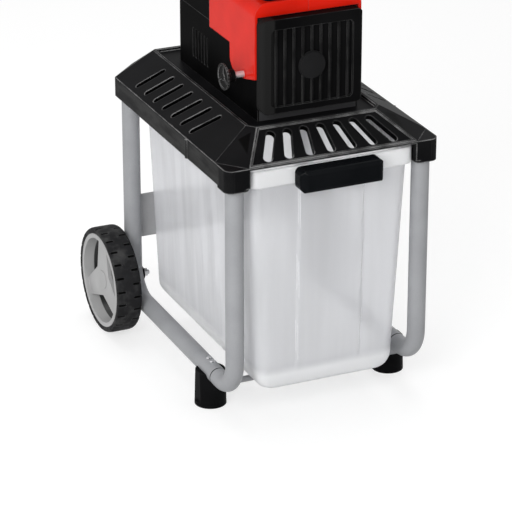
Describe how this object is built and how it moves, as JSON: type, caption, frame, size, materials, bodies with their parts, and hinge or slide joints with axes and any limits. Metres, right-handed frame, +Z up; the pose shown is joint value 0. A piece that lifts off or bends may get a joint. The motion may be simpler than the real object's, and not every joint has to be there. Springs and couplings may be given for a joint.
{
  "type": "garden shredder",
  "caption": "Electric garden shredder: cutting roller and gear motor under a hopper, on a wheeled tube stand with a pull-out see-through collection box.",
  "frame": {"origin": "on the floor, under the middle of the part's box", "axes": "+X to the right seen from the front, the front looks along -Y, +Z up"},
  "size_m": [0.532, 0.677, 1.0182],
  "materials": {
    "frame_tube": "satin silver-grey coating",
    "grey_plate": "grey coating",
    "foot_plastic": "moulded black",
    "steel": "bright zinc",
    "rim_plastic": "moulded light grey",
    "tyre_rubber": "black tread",
    "cover_plastic": "fine grained black",
    "box_plastic": "milky, see-through",
    "handle_plastic": "smooth black",
    "red_plastic": "smooth red",
    "cast_chamber": "dark cast",
    "tool_steel": "ground steel",
    "nut_steel": "blackened",
    "copper": "enamelled wire",
    "knob_plastic": "grained dark grey",
    "cast_alu": "die cast",
    "capacitor_can": "smooth white",
    "green_plastic": "smooth green",
    "stop_plastic": "smooth red"
  },
  "bodies": {
    "stand": {"front_leg_left": "frame_tube", "front_leg_right": "frame_tube", "rear_leg_left": "frame_tube", "rear_leg_right": "frame_tube", "cross_tube": "frame_tube", "rear_plate": "grey_plate", "foot_left": "foot_plastic", "foot_right": "foot_plastic", "axle_washers": "foot_plastic", "box_guide_left": "foot_plastic", "box_guide_right": "foot_plastic", "frame_screws": "steel", "axle_bolts": "steel", "axle_nuts": "steel", "deck_screws": "steel", "hopper_screws": "steel", "drum_bearing_front": "steel", "drum_bearing_rear": "steel", "lay_bearings": "steel", "motor_bearings": "steel", "stand_cover": "cover_plastic", "base_housing": "cover_plastic", "motor_cover": "cover_plastic", "hopper": "cover_plastic", "front_cover": "cover_plastic", "front_disc": "cover_plastic", "switch_box": "cover_plastic", "housing_left": "red_plastic", "housing_right": "red_plastic", "cutter_chamber": "cast_chamber", "stator_core": "tool_steel", "spindle_nut": "nut_steel", "windings": "copper", "gear_case": "cast_alu", "gear_cover": "cast_alu", "motor_case": "cast_alu", "motor_shield": "cast_alu", "capacitor": "capacitor_can"},
    "wheel_left": {"wheel_rim_left": "rim_plastic", "tyre_left": "tyre_rubber", "hub_cap_left": "rim_plastic"},
    "wheel_right": {"wheel_rim_right": "rim_plastic", "tyre_right": "tyre_rubber", "hub_cap_right": "rim_plastic"},
    "box": {"collection_box": "box_plastic", "box_handle": "handle_plastic"},
    "pressure_plate": {"counter_plate": "tool_steel"},
    "adjuster": {"adjust_spindle": "steel", "adjust_knob": "knob_plastic"},
    "drum": {"cutting_drum": "tool_steel", "drum_shaft": "steel", "output_gear": "tool_steel"},
    "layshaft": {"lay_shaft": "steel", "lay_gear": "tool_steel"},
    "rotor": {"motor_shaft": "steel", "rotor_core": "tool_steel", "fan": "knob_plastic"},
    "start_button": {"on_button": "green_plastic"},
    "stop_button": {"off_button": "stop_plastic"},
    "selector": {"direction_knob": "knob_plastic"}
  },
  "joints": [
    {"name": "wheel_left_spin", "type": "hinge", "parent": "stand", "child": "wheel_left", "pos_m": [-0.24, 0.2305, 0.108], "axis": [1, 0, 0], "continuous": true},
    {"name": "wheel_right_spin", "type": "hinge", "parent": "stand", "child": "wheel_right", "pos_m": [0.24, 0.2305, 0.108], "axis": [1, 0, 0], "continuous": true},
    {"name": "box_pull", "type": "slide", "parent": "stand", "child": "box", "axis": [0, -1, 0], "range_m": [0, 0.62]},
    {"name": "plate_slide", "type": "slide", "parent": "stand", "child": "pressure_plate", "axis": [1, 0, 0], "range_m": [0, 0.00349]},
    {"name": "knob_turn", "type": "hinge", "parent": "pressure_plate", "child": "adjuster", "pos_m": [-0.148, -0.1415, 0.651], "axis": [1, 0, 0], "range_deg": [0, 720]},
    {"name": "rotor_spin", "type": "hinge", "parent": "stand", "child": "rotor", "pos_m": [0, 0.0785, 0.675], "axis": [0, 1, 0], "continuous": true},
    {"name": "layshaft_spin", "type": "hinge", "parent": "stand", "child": "layshaft", "pos_m": [0.03, -0.0115, 0.72696], "axis": [0, 1, 0], "continuous": true},
    {"name": "drum_spin", "type": "hinge", "parent": "stand", "child": "drum", "pos_m": [0, -0.1245, 0.675], "axis": [0, 1, 0], "continuous": true},
    {"name": "start_push", "type": "slide", "parent": "stand", "child": "start_button", "axis": [-1, 0, 0], "range_m": [0, 0.003], "stiffness_N_per_m": 800},
    {"name": "stop_push", "type": "slide", "parent": "stand", "child": "stop_button", "axis": [-1, 0, 0], "range_m": [0, 0.003], "stiffness_N_per_m": 800},
    {"name": "selector_turn", "type": "hinge", "parent": "stand", "child": "selector", "pos_m": [0.137, 0.1335, 0.725], "axis": [1, 0, 0], "range_deg": [-45, 45]}
  ],
  "couplings": [
    {"joint": "layshaft_spin", "follows": "rotor_spin", "ratio": -0.17647},
    {"joint": "drum_spin", "follows": "rotor_spin", "ratio": 0.044118},
    {"joint": "knob_turn", "follows": "plate_slide", "rad_per_m": 3590.4}
  ]
}
